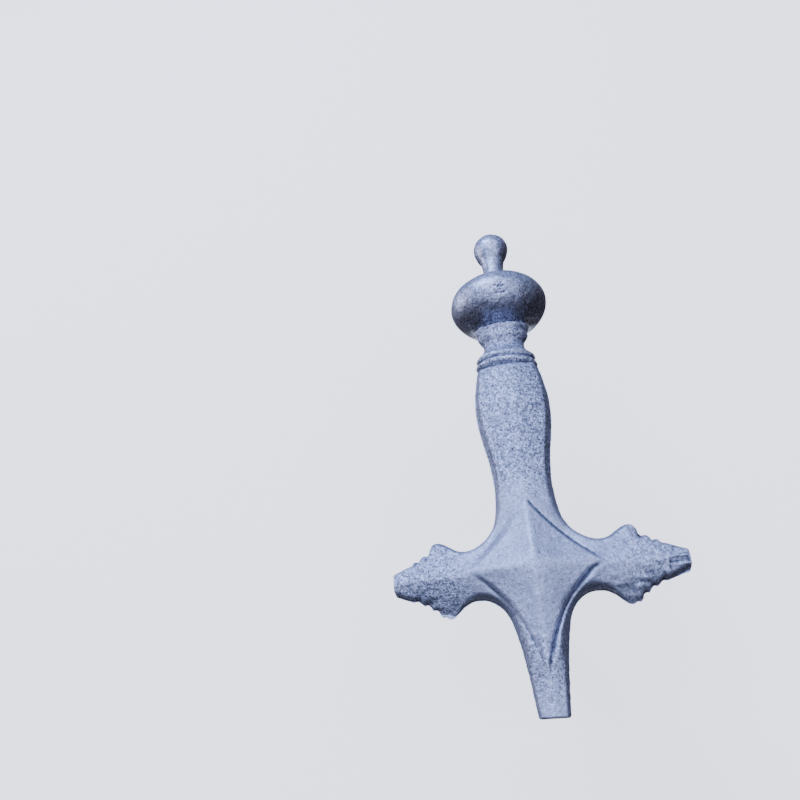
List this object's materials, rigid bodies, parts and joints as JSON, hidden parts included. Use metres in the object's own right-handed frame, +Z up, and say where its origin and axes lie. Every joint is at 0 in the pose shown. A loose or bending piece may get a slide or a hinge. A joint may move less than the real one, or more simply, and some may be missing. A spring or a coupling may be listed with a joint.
{
  "type": "shutter dog holdback",
  "caption": "Rotating shutter dog: a cast cross with a square tongue, toothed arms, swelling grip and ball weight, turning freely on a threaded wall post.",
  "frame": {"origin": "point where the pivot axis crosses the plane of the wall, at the back face of the seal", "axes": "+Z up along the tongue, with the ball hanging towards -Z; +Y into the wall; -Y out of the wall towards a person facing it; +X to that person's right"},
  "size_m": [0.0942, 0.1044, 0.1785],
  "materials": {
    "cast_alloy": "as-cast silver grey, fine sand grain, a little brighter on edges",
    "bronze": "machined bearing bronze",
    "screw_steel": "dark oxide socket screw",
    "zinc_steel": "zinc plated steel",
    "spring_steel": "hardened spring steel",
    "nylon": "natural nylon",
    "seal_rubber": "black EPDM rubber"
  },
  "bodies": {
    "wall_fixing": {"wall_post": "zinc_steel", "wall_seal": "seal_rubber", "spacer_sleeve": "zinc_steel", "lock_nut": "zinc_steel", "wave_washer": "spring_steel", "glide_washer": "nylon", "retaining_clip": "spring_steel"},
    "dog": {"dog_casting": "cast_alloy", "pommel_ball": "cast_alloy", "finial": "cast_alloy", "pivot_bush": "bronze", "flange_screw_1": "screw_steel", "flange_screw_2": "screw_steel", "flange_screw_3": "screw_steel", "end_washer": "nylon"}
  },
  "joints": [
    {"name": "dog_turn", "type": "hinge", "parent": "wall_fixing", "child": "dog", "pos_m": [0, -0.03, 0], "axis": [0, -1, 0], "continuous": true}
  ]
}
